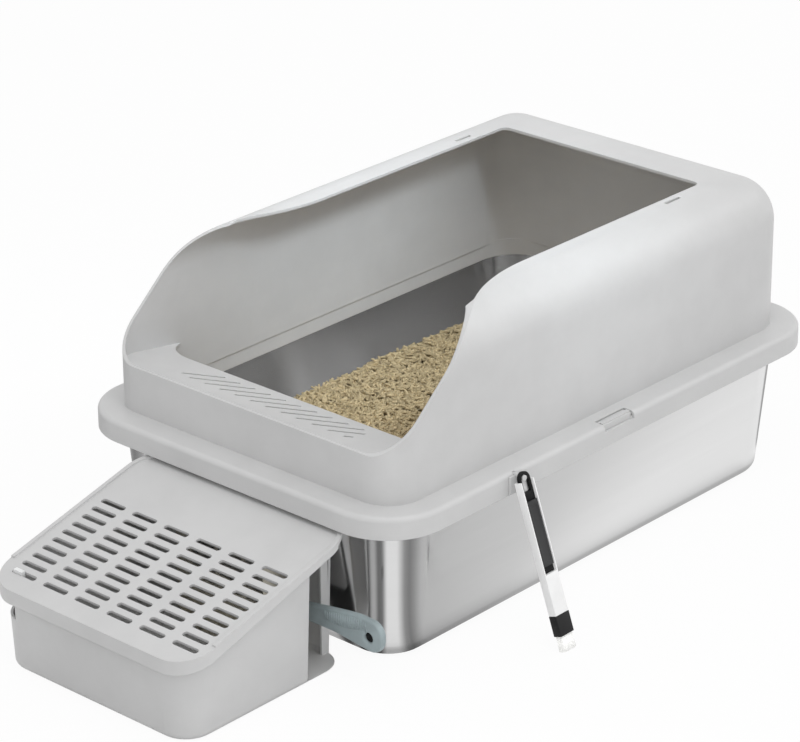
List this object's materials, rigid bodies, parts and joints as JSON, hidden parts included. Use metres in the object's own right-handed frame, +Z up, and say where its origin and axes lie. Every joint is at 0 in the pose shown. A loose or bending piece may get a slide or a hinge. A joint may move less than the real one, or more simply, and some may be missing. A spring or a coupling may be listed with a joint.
{
  "type": "drawer litter box",
  "caption": "Long cat litter box: steel pan, lift-off open-top shield, pull-out step box with slotted sloping lid, stored sieve scoop and a hung groove brush.",
  "frame": {"origin": "middle of the pan's flat bottom, on the floor", "axes": "+Z up, -Y towards the entrance and the step box, +X towards the side with the brush and the scoop's handle"},
  "size_m": [0.4786, 0.8335, 0.311],
  "materials": {
    "steel": "fine brushed stainless steel sheet",
    "litter": "tan pressed plant-fibre pellets",
    "clip_plastic": "pale grey satin plastic",
    "grey_plastic": "light cool grey satin plastic",
    "white_plastic": "white satin plastic",
    "black_plastic": "black satin plastic",
    "bristle": "white nylon filament",
    "scoop_steel": "satin stainless steel sheet",
    "handle_plastic": "blue-grey satin plastic with fine ribs"
  },
  "bodies": {
    "pan": {"steel_pan": "steel", "litter_bed": "litter", "rim_clips": "clip_plastic"},
    "shield": {"shield": "grey_plastic", "brush_hook": "clip_plastic"},
    "brush": {"brush_sleeve": "white_plastic", "brush_handle": "black_plastic", "brush_ferrule": "black_plastic", "brush_bristles": "bristle"},
    "step": {"step_box": "grey_plastic"},
    "lid": {"step_lid": "grey_plastic", "lid_catch": "white_plastic"},
    "scoop": {"scoop_head": "scoop_steel", "scoop_handle": "handle_plastic", "scoop_rivets": "scoop_steel"}
  },
  "joints": [
    {"name": "shield_lift", "type": "slide", "parent": "pan", "child": "shield", "axis": [0, 0, 1], "range_m": [0, 0.18]},
    {"name": "step_pull", "type": "slide", "parent": "pan", "child": "step", "axis": [0, -1, 0], "range_m": [0, 0.25]},
    {"name": "lid_slide", "type": "slide", "parent": "step", "child": "lid", "axis": [0, -0.9678, -0.2516], "range_m": [0, 0.12]},
    {"name": "scoop_slide", "type": "slide", "parent": "step", "child": "scoop", "axis": [1, 0, 0], "range_m": [0, 0.26]},
    {"name": "brush_swing", "type": "hinge", "parent": "shield", "child": "brush", "pos_m": [0.2126, -0.1555, 0.157], "axis": [1, 0, 0], "range_deg": [-35, 35]}
  ]
}
